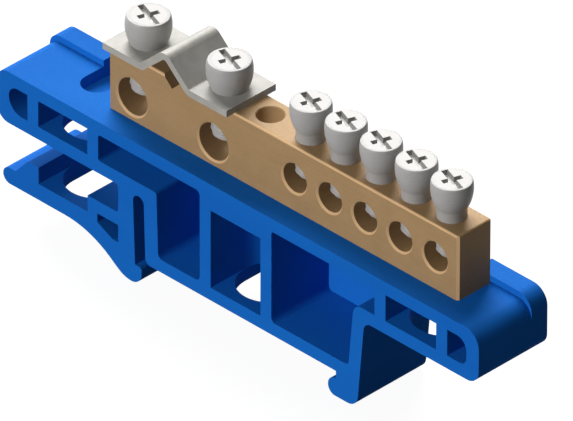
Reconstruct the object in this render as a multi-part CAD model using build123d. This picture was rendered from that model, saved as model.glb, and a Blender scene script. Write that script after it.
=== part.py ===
"""Neutral terminal bar on a moulded rail holder.

A brass bar with cross-drilled wire holes stands on a blue insulating holder that snaps on a
35 mm rail. Terminal screws come down through the bar's top into its wire holes. A folded steel
plate under the two large screws clamps a further conductor over a notch in the bar.

Frame: X runs along the bar, Y from the open front of the holder (-Y) to its closed back (+Y),
Z up. The origin is at the middle of the rail, on the face that lies on the rail, at half the
holder's depth. Sizes are millimetres.
"""

import os
from math import radians, tan

from build123d import *

# Holder, overall; its length follows from the rail and what stands beside it
holder_depth = 12.0
holder_height = 17.25
wall = 1.9
back_wall = 1.9
arm_depth = 7.65
left_top_radius = 1.9
right_top_radius = 2.4
end_bottom_radius = 2.0
pocket_radius = 0.4
narrow_radius = 0.2
end_wall = 2.1
end_pocket_width = 3.3

# Rounding of the end pockets' outer corners, as shares of the pockets' height
left_pocket_top_share = 0.39
left_pocket_foot_share = 0.59
right_pocket_top_share = 0.44
right_pocket_foot_share = 0.29

# Locating rib along the back of the holder's top, from the bar's back face to the holder's
locating_rib_height = 0.9

# Screw passages: a wide one for a head and a narrow one for a shank, open towards the back
passage_front_gap = 6.0
head_passage_radius = 4.35
shank_passage_radius = 2.1
seat_thickness = 3.85

# Skin left under the arms' shank passages, thin enough for a screw to pierce
passage_skin = 0.2

# Rail seat: the rail's edges lie behind the hook's nose and the latch's nose
rail_width = 35.0
rail_play = 0.15
hook_groove = 1.15
latch_groove = 1.02
hook_reach = 1.35
latch_reach = 1.15
foot_drop = 3.75
nose_radius = 1.2
heel_radius = 1.8

# Hook leg on the right and block on the left of the rail, both with a slight draft
leg_width = 2.0
leg_outer_reach = 4.0
leg_draft_angle = 5.0
leg_top_radius = 1.3
leg_inner_radius = 1.6
block_inset = 1.7
block_wall = 2.25
block_edge_radius = 0.9
block_draft_angle = 1.8
chamber_radius = 0.7

# Latch: a springy arm beside a slot, and the release lever that it carries
latch_slot_width = 1.9
latch_slot_top_gap = 0.1
latch_arm_width = 2.6
lever_nose_run = 2.2
lever_underside = 0.55
lever_nose_height = 2.4
lever_top = 5.4
lever_slope_angle = 48.0
lever_floor = 2.4
lever_sweep_radius = 14.0
lever_sweep_angle = 35.0
lever_pocket_wall = 1.7
lever_pocket_width = 3.7
lever_pocket_height = 2.6
lever_pocket_slant_run = 2.7
lever_pocket_slant_rise = 1.3
latch_sole_radius = 4.0

# Corner radius of a rounded end as a share of its width: just under a half
round_end_share = 0.495

# Brass bar, its middle a little behind the screw passages
bar_offset = 0.26
bar_height = 9.4
bar_width = 5.94
bar_edge_radius = 0.35
bar_corner_break = 0.3
bar_left_margin = 4.07
bar_right_margin = 4.02
fixing_hole_x = -0.18

# Terminals along the bar, counted from the fixing hole
large_gap = 7.1
large_pitch = 14.2
large_count = 2
small_gap = 7.03
small_pitch = 6.07
small_count = 5

# Wire holes, drilled through the bar from front to back
large_wire_radius = 2.6
large_wire_height = 3.33
small_wire_radius = 2.05
small_wire_height = 4.63
wire_countersink = 0.25

# Notch across the bar's top, and the folded plate over it
notch_depth = 1.5
notch_half_width = 1.5
plate_thickness = 0.95
plate_width = 8.6
plate_end_margin = 3.75
plate_foot_half_span = 3.9
plate_ridge_rise = 3.55
plate_bend_radius = 0.5

# Large screws, seated on the plate
large_shank_radius = 2.35
large_head_top_radius = 2.8
large_head_belly_radius = 2.98
large_head_belly_depth = 1.5
large_head_height = 3.87
large_tip_depth = 5.98

# Small screws, standing part way out of the bar
small_shank_radius = 1.92
small_head_top_radius = 2.6
small_head_belly_radius = 2.69
small_head_belly_depth = 1.3
small_head_height = 3.94
small_head_lift = 1.3
small_tip_depth = 5.38

# Recess in every terminal screw: a slot crossed by a shorter arm
recess_length_share = 0.86
recess_width = 0.9
recess_arm_share = 0.52
recess_arm_width = 0.8
recess_depth = 0.9
recess_turn = -20.0
tip_chamfer = 0.3

# Fixing screw, from below through the holder's seat into the bar
fixing_shank_radius = 1.5
fixing_head_radius = 2.9
fixing_head_height = 2.1
fixing_grip = 5.0
fixing_head_bevel = 0.5

# Radial clearance of a thread that turns in the brass, and of a shank in the plate
thread_clearance = 0.05
plate_clearance = 0.1

# Places that follow from the sizes above
back_y = holder_depth / 2
front_y = -holder_depth / 2
arm_bottom = holder_height - arm_depth
arm_floor = arm_bottom + wall
ceiling = holder_height - wall
passage_y = front_y + passage_front_gap
groove_x = rail_width / 2
block_edge = groove_x - block_inset
chamber_x = block_edge - block_wall
latch_wall_x = -(rail_width / 2 + rail_play)
hook_nose_x = groove_x - hook_reach
latch_nose_x = latch_wall_x + latch_reach
slot_top = arm_bottom - latch_slot_top_gap
leg_slope = tan(radians(leg_draft_angle))
block_slope = tan(radians(block_draft_angle))
slot_right_x = -block_edge - block_slope * slot_top
slot_left_x = slot_right_x - latch_slot_width
latch_left_x = slot_left_x - latch_arm_width
lever_pocket_x = latch_left_x - lever_pocket_width
passage_x = lever_pocket_wall + head_passage_radius - lever_pocket_x
end_pocket_x = passage_x + head_passage_radius + wall
half_length = end_pocket_x + end_pocket_width + end_wall
bar_bottom = holder_height
bar_top = bar_bottom + bar_height
bar_y = passage_y + bar_offset
bar_back_y = bar_y + bar_width / 2
bar_front_y = bar_y - bar_width / 2
large_first_x = fixing_hole_x - large_gap - (large_count - 1) * large_pitch
large_xs = [large_first_x + i * large_pitch for i in range(large_count)]
small_xs = [fixing_hole_x + small_gap + i * small_pitch for i in range(small_count)]
bar_left = large_xs[0] - bar_left_margin
bar_right = small_xs[-1] + bar_right_margin
notch_x = large_first_x + (large_count - 1) * large_pitch / 2
plate_length = (large_count - 1) * large_pitch + 2 * plate_end_margin
plate_top = bar_top + plate_thickness


def outline(corners):
    """Face in the XZ plane from corners (x, z, radius), each rounded by its own radius."""
    points = [(x, z) for x, z, radius in corners]
    radii = [radius for x, z, radius in corners]
    with BuildSketch() as sketch:
        with BuildLine():
            FilletPolyline(*points, radius=radii, close=True)
        make_face()
    return sketch.sketch


def through(face, from_y, to_y):
    """Solid with an XZ face's section, from one depth to another."""
    return extrude(Plane.XZ.offset(-to_y) * face, amount=to_y - from_y)


def pocket(corners):
    """Blind pocket that is open at the front and stops at the back wall."""
    return through(outline(corners), front_y - wall, back_y - back_wall)


def leg_outer_x(z):
    """Outer face of the hook leg at a height: it leans outwards as it rises."""
    return groove_x + leg_outer_reach + leg_slope * z


def holder_corners():
    """Front outline of the holder, from the top left corner downwards and round."""
    slope_run = (lever_top - lever_underside - lever_nose_height) / tan(radians(lever_slope_angle))
    grip_x = -passage_x - head_passage_radius - wall
    slope_foot_x = grip_x - slope_run
    lever_tip_x = slope_foot_x - lever_nose_run
    sole_x = latch_nose_x - heel_radius
    sweep_drop = lever_underside + foot_drop
    sweep_run = sweep_drop / tan(radians(lever_sweep_angle))
    sole_corner_x = sole_x - latch_sole_radius * tan(radians(lever_sweep_angle / 2))
    slot_round = latch_slot_width * round_end_share
    nose_round = lever_nose_height * round_end_share
    return [
        (-half_length, holder_height, left_top_radius),
        (-half_length, arm_bottom, end_bottom_radius),
        (latch_left_x, arm_bottom, pocket_radius),
        (latch_left_x, lever_top, pocket_radius),
        (grip_x, lever_top, pocket_radius),
        (slope_foot_x, lever_underside + lever_nose_height, pocket_radius),
        (lever_tip_x, lever_underside + lever_nose_height, nose_round),
        (lever_tip_x, lever_underside, nose_round),
        (sole_corner_x - sweep_run, lever_underside, lever_sweep_radius),
        (sole_corner_x, -foot_drop, latch_sole_radius),
        (latch_nose_x, -foot_drop, heel_radius),
        (latch_nose_x, -latch_groove, pocket_radius),
        (latch_wall_x, -latch_groove, 0),
        (slot_left_x, slot_top, slot_round),
        (slot_right_x, slot_top, slot_round),
        (-block_edge, 0, block_edge_radius),
        (groove_x, 0, 0),
        (groove_x, -hook_groove, 0),
        (hook_nose_x, -hook_groove, nose_radius),
        (hook_nose_x, -foot_drop, nose_radius),
        (leg_outer_x(-foot_drop), -foot_drop, heel_radius),
        (leg_outer_x(arm_bottom), arm_bottom, leg_top_radius),
        (half_length, arm_bottom, end_bottom_radius),
        (half_length, holder_height, right_top_radius),
    ]


def locating_rib():
    """Raised rib along the back of the top, which the bar's back face stands against."""
    top = holder_height + locating_rib_height
    corners = [
        (-half_length, top, left_top_radius),
        (-half_length, arm_floor, 0),
        (half_length, arm_floor, 0),
        (half_length, top, right_top_radius),
    ]
    return through(outline(corners), bar_back_y, back_y)


def arm_pockets():
    """Screw pocket and end pocket in each arm, mirrored but for the end pockets' rounding."""
    inner = passage_x - head_passage_radius
    outer = passage_x + head_passage_radius
    end = end_pocket_x + end_pocket_width
    height = ceiling - arm_floor
    shares = (
        (-1, left_pocket_top_share, left_pocket_foot_share),
        (1, right_pocket_top_share, right_pocket_foot_share),
    )
    solids = []
    for side, top_share, foot_share in shares:
        solids.append(
            pocket([
                (side * inner, arm_floor, 0),
                (side * inner, ceiling, 0),
                (side * outer, ceiling, 0),
                (side * outer, arm_floor, 0),
            ])
        )
        solids.append(
            pocket([
                (side * end_pocket_x, arm_floor, 0),
                (side * end_pocket_x, ceiling, 0),
                (side * end, ceiling, top_share * height),
                (side * end, arm_floor, foot_share * height),
            ])
        )
    return solids


def left_cavity():
    """Channel in the left arm that opens downwards into the chamber in the block."""
    channel_end = -passage_x + head_passage_radius + wall
    chamber_right = -head_passage_radius - wall
    step_x = -chamber_x - block_slope * (arm_floor - wall)
    return pocket([
        (channel_end, ceiling, pocket_radius),
        (channel_end, arm_floor, pocket_radius),
        (step_x, arm_floor, pocket_radius),
        (-chamber_x, wall, chamber_radius),
        (chamber_right, wall, chamber_radius),
        (chamber_right, ceiling, chamber_radius),
    ])


def right_cavity():
    """Large cavity beside the hook leg, which runs on over the leg into the right arm."""
    left = head_passage_radius + wall
    right = passage_x - head_passage_radius - wall
    return pocket([
        (left, ceiling, pocket_radius),
        (left, wall, chamber_radius),
        (leg_outer_x(wall) - leg_width, wall, chamber_radius),
        (leg_outer_x(arm_floor) - leg_width, arm_floor, leg_inner_radius),
        (right, arm_floor, 0),
        (right, ceiling, 0),
    ])


def lever_pockets():
    """Open-topped pocket in the lever, and the small four-sided pocket beside the latch arm."""
    inner = -passage_x + head_passage_radius
    outer = -passage_x - head_passage_radius
    floor = lever_underside + lever_floor
    small_top = lever_top - wall
    small_bottom = small_top - lever_pocket_height
    open_top = pocket([
        (inner, lever_top + wall, 0),
        (inner, floor, 0),
        (outer, floor, 0),
        (outer, lever_top + wall, 0),
    ])
    corner = pocket([
        (lever_pocket_x, small_top, narrow_radius),
        (lever_pocket_x, small_bottom + lever_pocket_slant_rise, narrow_radius),
        (lever_pocket_x + lever_pocket_slant_run, small_bottom, narrow_radius),
        (latch_left_x, small_bottom, narrow_radius),
        (latch_left_x, small_top, narrow_radius),
    ])
    return [open_top, corner]


def centre_pocket():
    """Pocket for the fixing screw's head: its back is half round, about the screw passage."""
    with BuildSketch(Plane.XY.offset(wall)) as plan:
        with Locations((0, passage_y)):
            Circle(head_passage_radius)
            Rectangle(2 * head_passage_radius, holder_depth, align=(Align.CENTER, Align.MAX))
    return extrude(plan.sketch, amount=holder_height - seat_thickness - wall)


def passage(x, radius, from_z, to_z):
    """Upright passage with a half-round front end, open through the back wall."""
    with BuildSketch(Plane.XY.offset(from_z)) as plan:
        with Locations((x, passage_y)):
            Circle(radius)
            Rectangle(2 * radius, holder_depth, align=(Align.CENTER, Align.MIN))
    return extrude(plan.sketch, amount=to_z - from_z)


def passages():
    """Head passages through the floors, and shank passages in the top: the arms' ones are blind."""
    over = holder_height + locating_rib_height + wall
    lever_floor_top = lever_underside + lever_floor
    solids = [
        passage(0, head_passage_radius, -wall, wall),
        passage(0, shank_passage_radius, holder_height - seat_thickness, over),
        passage(-passage_x, head_passage_radius, lever_underside - wall, lever_floor_top),
    ]
    for x in (-passage_x, passage_x):
        solids.append(passage(x, head_passage_radius, arm_bottom, arm_floor))
        solids.append(passage(x, shank_passage_radius, ceiling + passage_skin, over))
    return solids


def make_holder():
    """Blue moulding: one outline through the whole depth, then pockets and screw passages."""
    body = through(outline(holder_corners()), front_y, back_y) + locating_rib()
    hollows = arm_pockets() + lever_pockets() + passages()
    hollows += [left_cavity(), right_cavity(), centre_pocket()]
    for hollow in hollows:
        body = body - hollow
    return body


def wire_hole(x, z, radius):
    """Drill through the bar from front to back, countersunk where the wire goes in."""
    axis = Plane((x, bar_y, z), z_dir=(0, 1, 0))
    mouth = Pos(0, 0, (wire_countersink - bar_width) / 2)
    countersink = Cone(radius + wire_countersink, radius, wire_countersink)
    return axis * (Cylinder(radius, bar_width) + mouth * countersink)


def screw_hole(x, shank_radius, bottom_z):
    """Tapped hole from the bar's top down to a depth, with clearance for the thread."""
    depth = bar_top - bottom_z
    return Pos(x, bar_y, bottom_z + depth / 2) * Cylinder(shank_radius + thread_clearance, depth)


def make_bar():
    """Brass bar with wire holes, tapped holes, the fixing hole and the notch under the plate."""
    middle_x = (bar_left + bar_right) / 2
    length = bar_right - bar_left
    bar = Pos(middle_x, bar_y, bar_bottom + bar_height / 2) * Box(length, bar_width, bar_height)
    bar = chamfer(bar.edges().filter_by(Axis.Z), bar_corner_break)
    bar = fillet(bar.faces().sort_by(Axis.Z)[-1].edges(), bar_edge_radius)
    for x in large_xs:
        wire_z = bar_bottom + large_wire_height
        bar = bar - wire_hole(x, wire_z, large_wire_radius)
        bar = bar - screw_hole(x, large_shank_radius, wire_z)
    for x in small_xs:
        wire_z = bar_bottom + small_wire_height
        bar = bar - wire_hole(x, wire_z, small_wire_radius)
        bar = bar - screw_hole(x, small_shank_radius, wire_z)
    bar = bar - screw_hole(fixing_hole_x, fixing_shank_radius, bar_bottom)
    notch = Polygon(
        (notch_x - notch_half_width, bar_top),
        (notch_x, bar_top - notch_depth),
        (notch_x + notch_half_width, bar_top),
        align=None,
    )
    return bar - through(notch, bar_front_y, bar_back_y)


def make_plate():
    """Strip of steel folded into a ridge over the notch, with a hole in each flat."""
    half = plate_length / 2
    under = [
        (notch_x - half, bar_top),
        (notch_x - plate_foot_half_span, bar_top),
        (notch_x, bar_top + plate_ridge_rise),
        (notch_x + plate_foot_half_span, bar_top),
        (notch_x + half, bar_top),
    ]
    foot_bend = plate_bend_radius + plate_thickness
    with BuildSketch() as section:
        with BuildLine():
            FilletPolyline(*under, radius=[foot_bend, plate_bend_radius, foot_bend])
            offset(amount=plate_thickness, side=Side.LEFT)
        make_face()
    strip = through(section.sketch, bar_y - plate_width / 2, bar_y + plate_width / 2)
    for x in large_xs:
        hole = Pos(x, bar_y, plate_top) * Cylinder(large_shank_radius + plate_clearance, plate_length)
        strip = strip - hole
    return strip


def recess(head_top_radius):
    """Driver recess: a slot that stops short of the rim, and a shorter arm across it."""
    reach = 2 * head_top_radius
    with BuildSketch() as plan:
        Rectangle(reach * recess_length_share, recess_width, rotation=recess_turn)
        Rectangle(recess_arm_width, reach * recess_arm_share, rotation=recess_turn)
    return extrude(plan.sketch, amount=-recess_depth)


def terminal_screw(top_radius, belly_radius, belly_depth, head_height, shank_radius, length):
    """Barrel-headed screw, turned about Z, with its head's top at the origin."""
    with BuildSketch(Plane.XZ) as section:
        with BuildLine():
            Line((0, -length), (0, 0))
            Line((0, 0), (top_radius, 0))
            ThreePointArc((top_radius, 0), (belly_radius, -belly_depth), (shank_radius, -head_height))
            Line((shank_radius, -head_height), (shank_radius, tip_chamfer - length))
            Line((shank_radius, tip_chamfer - length), (shank_radius - tip_chamfer, -length))
            Line((shank_radius - tip_chamfer, -length), (0, -length))
        make_face()
    return revolve(section.sketch, Axis.Z) - recess(top_radius)


def make_large_screw(x):
    """Large screw: its head stands on the plate, its tip reaches into the wire hole."""
    head_top = plate_top + large_head_height
    length = head_top - (bar_top - large_tip_depth)
    screw = terminal_screw(
        large_head_top_radius,
        large_head_belly_radius,
        large_head_belly_depth,
        large_head_height,
        large_shank_radius,
        length,
    )
    return Pos(x, bar_y, head_top) * screw


def make_small_screw(x):
    """Small screw, backed out a little so that its neck shows over the bar."""
    head_top = bar_top + small_head_lift + small_head_height
    length = head_top - (bar_top - small_tip_depth)
    screw = terminal_screw(
        small_head_top_radius,
        small_head_belly_radius,
        small_head_belly_depth,
        small_head_height,
        small_shank_radius,
        length,
    )
    return Pos(x, bar_y, head_top) * screw


def make_fixing_screw():
    """Pan-head screw that holds the bar down, its head under the seat in the centre pocket."""
    seat_z = holder_height - seat_thickness
    length = seat_thickness + fixing_grip
    head = Pos(0, 0, -fixing_head_height / 2) * Cylinder(fixing_head_radius, fixing_head_height)
    head = chamfer(head.edges().group_by(Axis.Z)[0], fixing_head_bevel)
    shank = Pos(0, 0, length / 2) * Cylinder(fixing_shank_radius, length)
    drive = Pos(0, 0, -fixing_head_height) * Rot(180, 0, 0) * recess(fixing_head_radius - fixing_head_bevel)
    return Pos(fixing_hole_x, bar_y, seat_z) * (head + shank - drive)


def nodes():
    """Every piece of the object by name."""
    pieces = {
        "insulator": make_holder(),
        "terminal_bar": make_bar(),
        "clamp_plate": make_plate(),
        "fixing_screw": make_fixing_screw(),
    }
    for number, x in enumerate(large_xs, start=1):
        pieces[f"large_screw_{number}"] = make_large_screw(x)
    for number, x in enumerate(small_xs, start=1):
        pieces[f"small_screw_{number}"] = make_small_screw(x)
    return pieces


os.makedirs("parts", exist_ok=True)
for name, piece in nodes().items():
    export_step(piece, f"parts/{name}.step")
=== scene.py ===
"""Looks of the neutral terminal bar: threaded screws, bored bar, finishes, floor, light, camera.

Lengths are millimetres in the names and comments, and metres in the meshes. The frame is the CAD
model's: X along the bar, Y from the open front to the closed back, Z up from the rail.
"""

from math import cos, pi, radians, sin

import bmesh
import bpy
import numpy as np
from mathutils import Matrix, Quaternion, Vector


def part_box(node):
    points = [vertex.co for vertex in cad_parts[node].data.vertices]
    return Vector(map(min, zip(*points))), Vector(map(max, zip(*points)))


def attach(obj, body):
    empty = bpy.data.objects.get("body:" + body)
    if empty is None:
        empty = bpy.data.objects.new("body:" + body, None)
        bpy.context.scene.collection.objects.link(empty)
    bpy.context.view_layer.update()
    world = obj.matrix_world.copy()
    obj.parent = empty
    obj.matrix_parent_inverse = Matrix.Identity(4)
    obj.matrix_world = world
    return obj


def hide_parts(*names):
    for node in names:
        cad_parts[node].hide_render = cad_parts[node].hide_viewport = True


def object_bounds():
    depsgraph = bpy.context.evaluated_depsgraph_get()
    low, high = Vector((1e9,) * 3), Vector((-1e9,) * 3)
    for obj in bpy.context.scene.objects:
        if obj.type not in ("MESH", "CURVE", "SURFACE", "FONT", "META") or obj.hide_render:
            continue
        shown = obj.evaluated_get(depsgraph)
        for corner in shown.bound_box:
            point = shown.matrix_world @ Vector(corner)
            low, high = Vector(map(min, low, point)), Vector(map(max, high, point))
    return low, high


MM = 0.001

# Terminal screws, as in the CAD model: large ones on the plate, small ones in the bar
LARGE = {
    "nodes": ["large_screw_1", "large_screw_2"],
    "top_radius": 2.8,
    "belly_radius": 2.98,
    "belly_depth": 1.5,
    "head_height": 3.87,
    "shank_radius": 2.35,
    "neck": 0.95,
    "pitch": 0.8,
    "thread_depth": 0.34,
}
SMALL = {
    "nodes": [f"small_screw_{number}" for number in range(1, 6)],
    "top_radius": 2.6,
    "belly_radius": 2.69,
    "belly_depth": 1.3,
    "head_height": 3.94,
    "shank_radius": 1.92,
    "neck": 1.5,
    "pitch": 0.7,
    "thread_depth": 0.3,
}

# Detail of heads and tips: a rounded rim, a barrel that starts below it, and a chamfered tip
RIM_ROUND = 0.12
FLAT_SHARES = (0.05, 0.35, 0.65, 0.88)
RIM_STEPS = 5
BARREL_STEPS = 26
BARREL_START = 0.18
TIP_CHAMFER = 0.3
TIP_CENTRE = 0.3

# Threads: steps in a turn, rows in a pitch, and crest and flank as shares of half a pitch
TURN_STEPS = 84
THREAD_STEPS = 12
THREAD_CREST = 0.12
THREAD_FLANK = 0.68

# Edges sharper than this angle in degrees stay crisp, and points nearer than this are one point
CRISP_ANGLE = 32.0
WELD_DISTANCE = 0.001

# Way outwards from the head's centre over which the painted highlight on the flat top ends
PAINTED_TOP_FROM = 2.0
PAINTED_TOP_TO = 2.3

# Driver recess: a slot and a shorter arm across it. Its way down the profile starts far off, at
# RECESS_WAY, where the painted shade on its walls is full, and reaches RECESS_FOOT on its floor,
# whose painted highlight fades in just above it
SLOT_SHARE = 0.86
SLOT_WIDTH = 0.9
ARM_SHARE = 0.52
ARM_WIDTH = 0.8
RECESS_DEPTH = 0.75
RECESS_BREAK = 0.05
RECESS_DRAFT = 0.04
RECESS_TURN = -20.0
RECESS_WAY = 100.0
RECESS_FOOT = RECESS_WAY + RECESS_DEPTH
FOOT_FADE = 0.01
CUT_OVER = 0.3

# Free end of the fixing hole in the bar's top, bored wider than the thread below it
BORE_CENTRE = (-0.18, 0.26)
BORE_RADIUS = 1.8
BORE_BREAK = 0.12
BORE_TOP = 26.65
BORE_BOTTOM = 22.4

# Countersinks and broken edges of the bar, which get a painted highlight: the share of the normal
# along Y, and how deep they lie
SLANT_LEAST = 0.3
SLANT_MOST = 0.95
EDGE_BAND = 0.5

# Camera: a long lens on the photograph's line of sight
CAMERA_TARGET = (2.9, 0.0, 14.01)
CAMERA_AZIMUTH = 44.84
CAMERA_ELEVATION = 33.89
CAMERA_ROLL = 0.126
CAMERA_DISTANCE = 2453.9
CAMERA_LENS = 1250.0
CAMERA_SENSOR = 36.0
CAMERA_NEAR = 100.0
CAMERA_FAR = 10000.0

# Lights: name, the way it shines from, strength, softness in degrees, and whether it casts shadows
LIGHTS = [
    ("key", (-0.62, 0.46, 0.63), 6.2, 50.0, True),
    ("fill", (-0.18, -0.94, 0.29), 3.1, 40.0, False),
    ("side", (0.97, -0.2, 0.12), 0.13, 40.0, False),
]
ROOM_LIGHT = 0.09

# Floor: half its side, how bright it looks by itself, the share of light that it adds where it is
# seen, and the smaller share that it sends back to the object
FLOOR_REACH = 2500.0
FLOOR_WHITE = 0.93
FLOOR_PALE = 0.1
FLOOR_DARK = 0.05

# Gloss of the moulding and of the metals, as the shader's own values
BLUE_GLOSS = {"Specular IOR Level": 0.035}
METAL_GLOSS = {"Metallic": 0.06, "Specular IOR Level": 0.08}


# Meshes


def new_piece(name, points, faces, uvs):
    """Object of a mesh with the given points (mm) and faces, and a UV for each face corner."""
    mesh = bpy.data.meshes.new(name)
    mesh.from_pydata((points * MM).tolist(), [], faces)
    layer = mesh.uv_layers.new(name="surface")
    layer.data.foreach_set("uv", uvs.astype(np.float32).ravel())
    mesh.validate()
    piece = bpy.data.objects.new(name, mesh)
    bpy.context.collection.objects.link(piece)
    return piece


def smooth_by_angle(piece):
    """Smooth shading, with the edges sharper than an angle kept crisp."""
    piece.data.shade_smooth()
    piece.data.set_sharp_from_angle(angle=radians(CRISP_ANGLE))


def closed_skin(rings, way):
    """Points, faces and UVs of rings laid one below the other, with a flat face at each end.

    The face of row i and step j joins the points (i, j), (i + 1, j), (i + 1, j + 1) and (i, j + 1),
    where the step after a ring's last is its first. A UV is the share of the ring that lies behind
    the corner, and the way down the profile in millimetres.
    """
    rows, steps = rings.shape[:2]
    row, step = np.mgrid[0:rows - 1, 0:steps]
    after = (step + 1) % steps
    above, below = row * steps, (row + 1) * steps
    sides = np.stack([above + step, below + step, below + after, above + after], axis=-1)
    share = np.stack([step, step, step + 1, step + 1], axis=-1) / steps
    down = np.stack([way[row], way[row + 1], way[row + 1], way[row]], axis=-1)
    lid = np.arange(steps)
    foot = (rows - 1) * steps + lid[::-1]
    faces = sides.reshape(-1, 4).tolist() + [lid.tolist(), foot.tolist()]
    side_uvs = np.stack([share, down], axis=-1).reshape(-1, 2)
    lid_uvs = np.stack([lid / steps, np.full(steps, way[0])], axis=-1)
    foot_uvs = np.stack([lid[::-1] / steps, np.full(steps, way[-1])], axis=-1)
    return rings.reshape(-1, 3), faces, np.concatenate([side_uvs, lid_uvs, foot_uvs])


def turned_skin(radii, heights):
    """Closed skin of a turned piece from radii of rows by steps round, and a height for each row.

    The point of row i and step j is (r cos a, r sin a, z), where a is j full turns / steps.
    """
    rows, steps = radii.shape
    angles = np.arange(steps) * 2 * pi / steps
    levels = np.repeat(heights[:, None], steps, axis=1)
    rings = np.stack([radii * np.cos(angles), radii * np.sin(angles), levels], axis=-1)
    profile = radii.mean(axis=1)
    way = np.concatenate([[0.0], np.cumsum(np.hypot(np.diff(profile), np.diff(heights)))])
    return closed_skin(rings, way)


def arc_through(start, middle, end, count):
    """Points of the circle arc through three points (r, z), start and end among them.

    The centre lies where the perpendiculars through the middles of both chords meet.
    """
    (ax, ay), (bx, by), (cx, cy) = start, middle, end
    a, b, c = ax**2 + ay**2, bx**2 + by**2, cx**2 + cy**2
    area = 2 * (ax * (by - cy) + bx * (cy - ay) + cx * (ay - by))
    x = (a * (by - cy) + b * (cy - ay) + c * (ay - by)) / area
    y = (a * (cx - bx) + b * (ax - cx) + c * (bx - ax)) / area
    radius = np.hypot(ax - x, ay - y)
    turn = np.linspace(np.arctan2(ay - y, ax - x), np.arctan2(cy - y, cx - x), count)
    return np.stack([x + radius * np.cos(turn), y + radius * np.sin(turn)], axis=-1)


def head_profile(size):
    """Rows (r, z) from the head's flat top over the rounded rim and down the barrel.

    The rim is a quarter circle, and the barrel is the arc through the rim, the belly and the neck.
    """
    top = size["top_radius"]
    flat = np.stack([top * np.array(FLAT_SHARES), np.zeros(len(FLAT_SHARES))], axis=-1)
    turn = np.linspace(pi / 2, 0, RIM_STEPS)
    rim = np.stack([top + RIM_ROUND * (np.cos(turn) - 1), RIM_ROUND * (np.sin(turn) - 1)], axis=-1)
    belly = (size["belly_radius"], -size["belly_depth"])
    neck = (size["shank_radius"], -size["head_height"])
    barrel = arc_through((top, 0.0), belly, neck, BARREL_STEPS)
    return np.concatenate([flat, rim, barrel[barrel[:, 1] < -BARREL_START]])


def thread_radius(angle, height, radius, depth, pitch):
    """Radius of a right-hand thread: crest and root flats joined by straight flanks.

    The phase is height / pitch - angle / full turn. The wave runs from 0 at the crest to 1 at the
    root and is clipped at both ends, and the radius is the crest's less depth times the wave.
    """
    phase = (height / pitch - angle / (2 * pi)) % 1.0
    wave = np.clip((1 - np.abs(2 * phase - 1) - THREAD_CREST) / THREAD_FLANK, 0, 1)
    return radius - depth * wave


def screw_skin(size, length):
    """Turned skin of a terminal screw, its head's top at height 0, with a thread on its shank.

    The thread's depth grows from nothing to its full value over the first turn under the neck.
    """
    profile = head_profile(size)
    shank, pitch = size["shank_radius"], size["pitch"]
    neck_end = -size["head_height"] - size["neck"]
    tip_start = TIP_CHAMFER - length
    rows = int(THREAD_STEPS * (neck_end - tip_start) / pitch)
    level = np.linspace(neck_end, tip_start, rows)
    angles = np.arange(TURN_STEPS) * 2 * pi / TURN_STEPS
    depth = size["thread_depth"] * np.minimum(1.0, (neck_end - level) / pitch)[:, None]
    thread = thread_radius(angles, level[:, None], shank, depth, pitch)
    foot = min(shank, thread[-1].min() + TIP_CHAMFER / 2) - TIP_CHAMFER
    head = np.repeat(profile[:, :1], TURN_STEPS, axis=1)
    tip = np.repeat([[foot], [TIP_CENTRE]], TURN_STEPS, axis=1)
    heights = np.concatenate([profile[:, 1], level, [-length, -length]])
    return turned_skin(np.concatenate([head, thread, tip]), heights)


def cross_outline(slot_length, arm_length):
    """Corners of the recess, anticlockwise, and the way that each moves when the outline grows.

    A slot along X is crossed by an arm along Y. The signs of a corner's way are those of the walls
    that meet there, so the outline stays parallel to itself.
    """
    a, b, c, d = slot_length / 2, SLOT_WIDTH / 2, ARM_WIDTH / 2, arm_length / 2
    quarter = np.array([(a, b), (c, b), (c, d)])
    turned = quarter[::-1] * (-1, 1)
    upper = np.concatenate([quarter, turned])
    corners = np.concatenate([upper, -upper])
    return corners, np.sign(corners)


def recess_cutter(size):
    """Closed prism of the driver recess: its outline at four levels, turned about the screw's axis.

    The outline flares above the head, breaks the top edge, and draws in a little to the floor. Its
    UVs start far down the profile, so that the material paints shade on its walls and a highlight
    on its floor.
    """
    reach = 2 * size["top_radius"]
    corners, outward = cross_outline(reach * SLOT_SHARE, reach * ARM_SHARE)
    grow = np.array([CUT_OVER, 0.0, -RECESS_BREAK, -RECESS_BREAK - RECESS_DRAFT])
    heights = np.array([CUT_OVER, 0.0, -RECESS_BREAK, -RECESS_DEPTH])
    plan = corners + grow[:, None, None] * outward
    turn = radians(RECESS_TURN)
    turned = plan @ np.array([[cos(turn), sin(turn)], [-sin(turn), cos(turn)]])
    levels = np.broadcast_to(heights[:, None, None], turned.shape[:2] + (1,))
    return closed_skin(np.concatenate([turned, levels], axis=-1), RECESS_WAY - heights)


def hole_cutter():
    """Turned drill for the free end of the fixing hole, with a flare that breaks its mouth."""
    flare = BORE_BREAK + CUT_OVER
    profile = np.array([
        (TIP_CENTRE, BORE_TOP + CUT_OVER),
        (BORE_RADIUS + flare, BORE_TOP + CUT_OVER),
        (BORE_RADIUS, BORE_TOP - BORE_BREAK),
        (BORE_RADIUS, BORE_BOTTOM),
        (TIP_CENTRE, BORE_BOTTOM),
    ])
    points, faces, uvs = turned_skin(np.repeat(profile[:, :1], TURN_STEPS, axis=1), profile[:, 1])
    return points + (*BORE_CENTRE, 0.0), faces, uvs


def cut_away(piece, cutter):
    """Takes the cutter out of the piece for good and removes the cutter."""
    difference = piece.modifiers.new("cut", "BOOLEAN")
    difference.operation = "DIFFERENCE"
    difference.solver = "EXACT"
    difference.object = cutter
    depsgraph = bpy.context.evaluated_depsgraph_get()
    mesh = bpy.data.meshes.new_from_object(piece.evaluated_get(depsgraph))
    piece.modifiers.clear()
    piece.data = mesh
    bpy.data.objects.remove(cutter)


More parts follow.
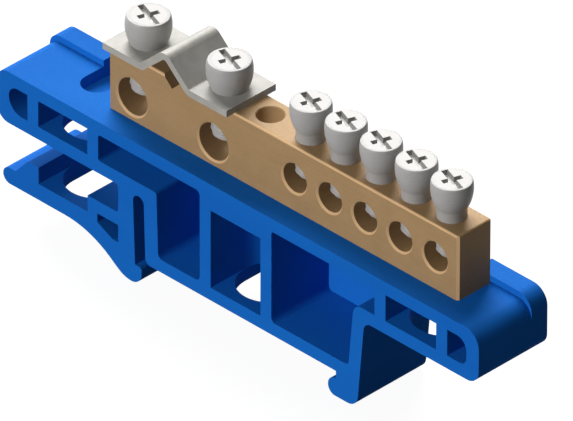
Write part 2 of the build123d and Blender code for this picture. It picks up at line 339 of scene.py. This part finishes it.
def finish_piece(piece, node, body, finish):
    """Puts a finished piece in a CAD node's place, on its body, with one material."""
    piece.data.materials.clear()
    piece.data.materials.append(finish)
    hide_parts(node)
    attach(piece, body)


def terminal_screw(node, size, finish):
    """Detailed screw in the place of a CAD screw: rounded rim, recess, neck, thread and tip."""
    low, high = (np.array(corner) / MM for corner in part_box(node))
    place = np.array([(low[0] + high[0]) / 2, (low[1] + high[1]) / 2, high[2]])
    points, faces, uvs = screw_skin(size, high[2] - low[2])
    piece = new_piece(node + "_turned", points + place, faces, uvs)
    points, faces, uvs = recess_cutter(size)
    cut_away(piece, new_piece(node + "_recess", points + place, faces, uvs))
    smooth_by_angle(piece)
    finish_piece(piece, node, node, finish)


def mark_highlight_edges(mesh):
    """Face attribute painted_highlight: 1 on countersinks and broken edges, which get a painted
    highlight, and 0 elsewhere.

    Such a face leans, so its normal's share along Y lies between two limits, and its centre is less
    than a band's width from the bar's front or back.
    """
    normals = np.empty(len(mesh.polygons) * 3)
    centres = np.empty(len(mesh.polygons) * 3)
    points = np.empty(len(mesh.vertices) * 3)
    mesh.polygons.foreach_get("normal", normals)
    mesh.polygons.foreach_get("center", centres)
    mesh.vertices.foreach_get("co", points)
    across, middle, reach = np.abs(normals[1::3]), centres[1::3], points[1::3]
    depth = np.minimum(middle - reach.min(), reach.max() - middle)
    edges = (across > SLANT_LEAST) & (across < SLANT_MOST) & (depth < EDGE_BAND * MM)
    mark = mesh.attributes.new("painted_highlight", "FLOAT", "FACE")
    mark.data.foreach_set("value", edges.astype(np.float32))


def bored_bar(finish):
    """The brass bar with the free end of its fixing hole bored out to the width that it shows."""
    joined = bmesh.new()
    joined.from_mesh(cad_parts["terminal_bar"].data)
    bmesh.ops.remove_doubles(joined, verts=joined.verts, dist=WELD_DISTANCE * MM)
    mesh = bpy.data.meshes.new("terminal_bar_bored")
    joined.to_mesh(mesh)
    joined.free()
    mesh.attributes.remove(mesh.attributes["custom_normal"])
    piece = bpy.data.objects.new("terminal_bar_bored", mesh)
    bpy.context.collection.objects.link(piece)
    cut_away(piece, new_piece("fixing_hole_drill", *hole_cutter()))
    mark_highlight_edges(piece.data)
    smooth_by_angle(piece)
    finish_piece(piece, "terminal_bar", "holder", finish)


# Materials


class Finish:
    """One node-based material, with short calls for the nodes that it is built from."""

    def __init__(self, name):
        self.material = bpy.data.materials.new(name)
        self.material.use_nodes = True
        self.tree = self.material.node_tree
        self.shader = self.tree.nodes["Principled BSDF"]

    def node(self, kind, **settings):
        """New node with settings such as a data type or an attribute's name."""
        made = self.tree.nodes.new(kind)
        for name, value in settings.items():
            setattr(made, name, value)
        return made

    def feed(self, socket, value):
        """Links an output to a socket, or sets the socket to a plain value."""
        if isinstance(value, bpy.types.NodeSocket):
            self.tree.links.new(value, socket)
        else:
            socket.default_value = value

    def place(self, stretch=(1, 1, 1)):
        """Object coordinates in millimetres, each axis times its stretch."""
        coordinates = self.node("ShaderNodeTexCoord").outputs["Object"]
        mapping = self.node("ShaderNodeMapping")
        mapping.inputs["Scale"].default_value = [axis / MM for axis in stretch]
        self.feed(mapping.inputs["Vector"], coordinates)
        return mapping.outputs["Vector"]

    def noise(self, place, scale, detail, roughness, distortion=0.0):
        """Noise between 0 and 1 at a number of cells per millimetre."""
        made = self.node("ShaderNodeTexNoise")
        self.feed(made.inputs["Vector"], place)
        made.inputs["Scale"].default_value = scale
        made.inputs["Detail"].default_value = detail
        made.inputs["Roughness"].default_value = roughness
        made.inputs["Distortion"].default_value = distortion
        return made.outputs["Fac"]

    def spread(self, value, low, high, to_low, to_high):
        """Value from low..high mapped to to_low..to_high and kept inside."""
        made = self.node("ShaderNodeMapRange")
        self.feed(made.inputs["Value"], value)
        made.inputs["From Min"].default_value = low
        made.inputs["From Max"].default_value = high
        made.inputs["To Min"].default_value = to_low
        made.inputs["To Max"].default_value = to_high
        return made.outputs["Result"]

    def blend(self, share, first, second):
        """Two colours blended by a share from 0 to 1."""
        made = self.node("ShaderNodeMix", data_type="RGBA")
        self.feed(made.inputs["Factor"], share)
        self.feed(made.inputs["A"], first)
        self.feed(made.inputs["B"], second)
        return made.outputs["Result"]

    def tint(self, colour, pattern, low, high, most, towards):
        """Colour that turns towards another, by a share up to most, as a pattern rises."""
        return self.blend(self.spread(pattern, low, high, 0, most), colour, towards)

    def bump(self, height, depth, strength, under=None):
        """Bump of a height from 0 to 1 that stands for a depth in millimetres."""
        made = self.node("ShaderNodeBump")
        made.inputs["Strength"].default_value = strength
        made.inputs["Distance"].default_value = depth * MM
        self.feed(made.inputs["Height"], height)
        if under is not None:
            self.feed(made.inputs["Normal"], under)
        return made.outputs["Normal"]

    def surface(self, colour, roughness, normal, gloss):
        """Feeds the shader its colour, roughness and normal, and sets its constant gloss."""
        self.feed(self.shader.inputs["Base Color"], colour)
        self.feed(self.shader.inputs["Roughness"], roughness)
        self.feed(self.shader.inputs["Normal"], normal)
        for name, value in gloss.items():
            self.shader.inputs[name].default_value = value
        return self.material


def rgb(red, green, blue):
    """Colour of an sRGB triple from 0 to 255, as linear values with full alpha."""
    def linear(value):
        share = value / 255
        return share / 12.92 if share <= 0.04045 else ((share + 0.055) / 1.055) ** 2.4
    return (linear(red), linear(green), linear(blue), 1.0)


def blue_moulding():
    """Blue polyamide from an eroded mould: fine grain, faint flow marks and soft sink waves."""
    finish = Finish("blue_moulding")
    place = finish.place()
    flow = finish.noise(finish.place((0.35, 1, 1)), 0.09, 3, 0.6, 0.4)
    grain = finish.noise(place, 4.5, 3, 0.65)
    speck = finish.noise(place, 11.0, 1, 0.5)
    colour = finish.tint(rgb(17, 92, 176), flow, 0.35, 0.65, 1, rgb(19, 98, 183))
    colour = finish.tint(colour, grain, 0.4, 0.75, 0.3, rgb(12, 75, 154))
    colour = finish.tint(colour, speck, 0.6, 0.72, 0.25, rgb(34, 111, 195))
    roughness = finish.spread(grain, 0.3, 0.7, 0.68, 0.8)
    waves = finish.bump(flow, 0.05, 0.5)
    normal = finish.bump(grain, 0.012, 0.55, waves)
    return finish.surface(colour, roughness, normal, BLUE_GLOSS)


def drawn_brass():
    """Drawn brass bar: die lines along X, small pits, dull tarnish and a painted highlight on
    countersinks and broken edges.
    """
    finish = Finish("drawn_brass")
    lines = finish.noise(finish.place((0.03, 1, 1)), 3.2, 4, 0.7)
    patches = finish.noise(finish.place(), 0.25, 3, 0.6, 0.5)
    pits = finish.noise(finish.place(), 5.5, 2, 0.6)
    colour = finish.tint(rgb(152, 123, 87), patches, 0.35, 0.68, 1, rgb(145, 118, 83))
    colour = finish.tint(colour, lines, 0.35, 0.7, 0.35, rgb(161, 133, 98))
    colour = finish.tint(colour, pits, 0.6, 0.7, 0.5, rgb(109, 83, 53))
    # Painted highlight: countersinks and broken edges get a lighter brass colour
    edge = finish.node("ShaderNodeAttribute", attribute_name="painted_highlight").outputs["Fac"]
    colour = finish.blend(edge, colour, rgb(198, 163, 121))
    roughness = finish.spread(lines, 0.3, 0.7, 0.42, 0.54)
    normal = finish.bump(lines, 0.008, 0.6)
    normal = finish.bump(finish.spread(pits, 0.58, 0.7, 1, 0), 0.012, 0.6, normal)
    return finish.surface(colour, roughness, normal, METAL_GLOSS)


def plated_sheet():
    """Zinc-plated spring sheet: rolled grain across the fold and a faint spangle."""
    finish = Finish("plated_sheet")
    grain = finish.noise(finish.place((1, 0.06, 1)), 4.0, 4, 0.65)
    cloud = finish.noise(finish.place(), 0.5, 2, 0.5, 0.6)
    fine = finish.noise(finish.place(), 7.0, 2, 0.6)
    colour = finish.tint(rgb(159, 156, 150), cloud, 0.35, 0.65, 1, rgb(150, 148, 143))
    colour = finish.tint(colour, fine, 0.58, 0.72, 0.3, rgb(123, 122, 120))
    roughness = finish.spread(grain, 0.3, 0.7, 0.36, 0.46)
    normal = finish.bump(grain, 0.006, 0.5)
    return finish.surface(colour, roughness, normal, METAL_GLOSS)


def turned_steel():
    """Nickel-plated turned steel: fine turning rings, a soft mottle and a painted highlight on the
    flat top.

    The recess's walls get painted shade and its floor a painted highlight.
    """
    finish = Finish("turned_steel")
    way = finish.node("ShaderNodeUVMap", uv_map="surface").outputs["UV"]
    mapping = finish.node("ShaderNodeMapping")
    mapping.inputs["Scale"].default_value = (0.4, 1.0, 1.0)
    finish.feed(mapping.inputs["Vector"], way)
    rings = finish.noise(mapping.outputs["Vector"], 9.0, 3, 0.6)
    fine = finish.noise(finish.place(), 8.0, 2, 0.6)
    colour = finish.tint(rgb(164, 162, 160), rings, 0.35, 0.7, 1, rgb(153, 151, 150))
    colour = finish.tint(colour, fine, 0.6, 0.72, 0.35, rgb(114, 113, 114))
    split = finish.node("ShaderNodeSeparateXYZ")
    finish.feed(split.inputs["Vector"], way)
    down = split.outputs["Y"]
    # Painted highlight: the head's flat top gets a lighter, even colour
    painted_top = finish.spread(down, PAINTED_TOP_FROM, PAINTED_TOP_TO, 1, 0)
    colour = finish.blend(painted_top, colour, rgb(167, 165, 163))
    # Painted shade on the recess's walls, and a painted highlight on its floor below
    colour = finish.tint(colour, down, 0.9 * RECESS_WAY, RECESS_WAY, 1, rgb(123, 121, 119))
    lit_floor_from, lit_floor_to = RECESS_FOOT - 2 * FOOT_FADE, RECESS_FOOT - FOOT_FADE
    colour = finish.tint(colour, down, lit_floor_from, lit_floor_to, 1, rgb(214, 213, 211))
    roughness = finish.spread(rings, 0.3, 0.7, 0.34, 0.44)
    normal = finish.bump(rings, 0.006, 0.5)
    return finish.surface(colour, roughness, normal, METAL_GLOSS)


def headed_steel():
    """Plated steel of the fixing screw: pressed head with a soft mottle and light scuffs."""
    finish = Finish("headed_steel")
    scuffs = finish.noise(finish.place((1, 0.2, 1)), 3.0, 3, 0.6)
    fine = finish.noise(finish.place(), 7.0, 2, 0.6)
    colour = finish.tint(rgb(162, 162, 163), scuffs, 0.35, 0.7, 1, rgb(148, 148, 150))
    roughness = finish.spread(fine, 0.3, 0.7, 0.38, 0.52)
    normal = finish.bump(scuffs, 0.008, 0.5)
    return finish.surface(colour, roughness, normal, METAL_GLOSS)


def dress(node, finish):
    """Gives a CAD piece one finish on each of its material slots."""
    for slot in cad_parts[node].material_slots:
        slot.material = finish


# Floor, light and camera


def background_share(nodes, links):
    """Output that is 1 for the rays that show the background: camera, glossy and transmission."""
    path = nodes.new("ShaderNodeLightPath")
    share = path.outputs["Is Camera Ray"]
    for kind in ("Is Glossy Ray", "Is Transmission Ray"):
        either = nodes.new("ShaderNodeMath")
        either.operation = "MAXIMUM"
        links.new(share, either.inputs[0])
        links.new(path.outputs[kind], either.inputs[1])
        share = either.outputs[0]
    return share


def pale_floor(level):
    """White floor that takes a faint shadow and sends little light back up to the object."""
    corners = np.array([(-1, -1, 0), (1, -1, 0), (1, 1, 0), (-1, 1, 0)])
    points = FLOOR_REACH * corners + (0, 0, level / MM)
    floor = new_piece("floor", points, [(0, 1, 2, 3)], corners[:, :2])
    material = bpy.data.materials.new("pale_floor")
    material.use_nodes = True
    nodes, links = material.node_tree.nodes, material.node_tree.links
    nodes.clear()
    seen = background_share(nodes, links)
    white = nodes.new("ShaderNodeEmission")
    white.inputs["Strength"].default_value = FLOOR_WHITE
    pale = nodes.new("ShaderNodeBsdfDiffuse")
    pale.inputs["Color"].default_value = (FLOOR_PALE, FLOOR_PALE, FLOOR_PALE, 1)
    both = nodes.new("ShaderNodeAddShader")
    links.new(white.outputs[0], both.inputs[0])
    links.new(pale.outputs[0], both.inputs[1])
    dark = nodes.new("ShaderNodeBsdfDiffuse")
    dark.inputs["Color"].default_value = (FLOOR_DARK, FLOOR_DARK, FLOOR_DARK, 1)
    mix = nodes.new("ShaderNodeMixShader")
    links.new(seen, mix.inputs[0])
    links.new(dark.outputs[0], mix.inputs[1])
    links.new(both.outputs[0], mix.inputs[2])
    links.new(mix.outputs[0], nodes.new("ShaderNodeOutputMaterial").inputs["Surface"])
    floor.data.materials.append(material)


def white_room():
    """World that is white to the camera and a low, even light to the object."""
    world = bpy.data.worlds.new("white_room")
    bpy.context.scene.world = world
    world.use_nodes = True
    nodes, links = world.node_tree.nodes, world.node_tree.links
    nodes.clear()
    seen = background_share(nodes, links)
    shown = nodes.new("ShaderNodeBackground")
    shown.inputs["Color"].default_value = (1, 1, 1, 1)
    lit = nodes.new("ShaderNodeBackground")
    lit.inputs["Strength"].default_value = ROOM_LIGHT
    mix = nodes.new("ShaderNodeMixShader")
    links.new(seen, mix.inputs[0])
    links.new(lit.outputs[0], mix.inputs[1])
    links.new(shown.outputs[0], mix.inputs[2])
    links.new(mix.outputs[0], nodes.new("ShaderNodeOutputWorld").inputs["Surface"])


def sun(name, shines_from, strength, softness, shadow):
    """Even light from a direction, with a shadow as soft as its angle in degrees."""
    light = bpy.data.lights.new(name, "SUN")
    light.energy = strength
    light.angle = radians(softness)
    light.use_shadow = shadow
    lamp = bpy.data.objects.new(name, light)
    lamp.rotation_mode = "QUATERNION"
    lamp.rotation_quaternion = Vector(shines_from).to_track_quat("Z", "Y")
    bpy.context.collection.objects.link(lamp)


def photo_camera():
    """Camera on the photograph's line of sight, far off with a long lens."""
    azimuth, elevation = radians(CAMERA_AZIMUTH), radians(CAMERA_ELEVATION)
    back = Vector((sin(azimuth) * cos(elevation), -cos(azimuth) * cos(elevation), sin(elevation)))
    lens = bpy.data.cameras.new("camera")
    lens.lens = CAMERA_LENS
    lens.sensor_width = CAMERA_SENSOR
    lens.clip_start = CAMERA_NEAR * MM
    lens.clip_end = CAMERA_FAR * MM
    camera = bpy.data.objects.new("camera", lens)
    camera.location = (Vector(CAMERA_TARGET) + back * CAMERA_DISTANCE) * MM
    camera.rotation_mode = "QUATERNION"
    level = back.to_track_quat("Z", "Y")
    camera.rotation_quaternion = Quaternion(back, radians(CAMERA_ROLL)) @ level
    bpy.context.collection.objects.link(camera)
    bpy.context.scene.camera = camera


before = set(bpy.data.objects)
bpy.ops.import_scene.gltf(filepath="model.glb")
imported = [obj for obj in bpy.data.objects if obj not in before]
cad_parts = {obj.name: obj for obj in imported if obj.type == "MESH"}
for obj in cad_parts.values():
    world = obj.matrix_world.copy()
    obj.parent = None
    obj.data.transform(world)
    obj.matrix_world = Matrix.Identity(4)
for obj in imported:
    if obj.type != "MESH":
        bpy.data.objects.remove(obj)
cad_low, cad_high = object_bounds()

steel = turned_steel()
dress("insulator", blue_moulding())
dress("clamp_plate", plated_sheet())
dress("fixing_screw", headed_steel())
bored_bar(drawn_brass())
for size in (LARGE, SMALL):
    for node in size["nodes"]:
        terminal_screw(node, size, steel)

pale_floor(cad_low.z)
white_room()
for light in LIGHTS:
    sun(*light)
photo_camera()
bpy.context.scene.view_settings.view_transform = "Standard"
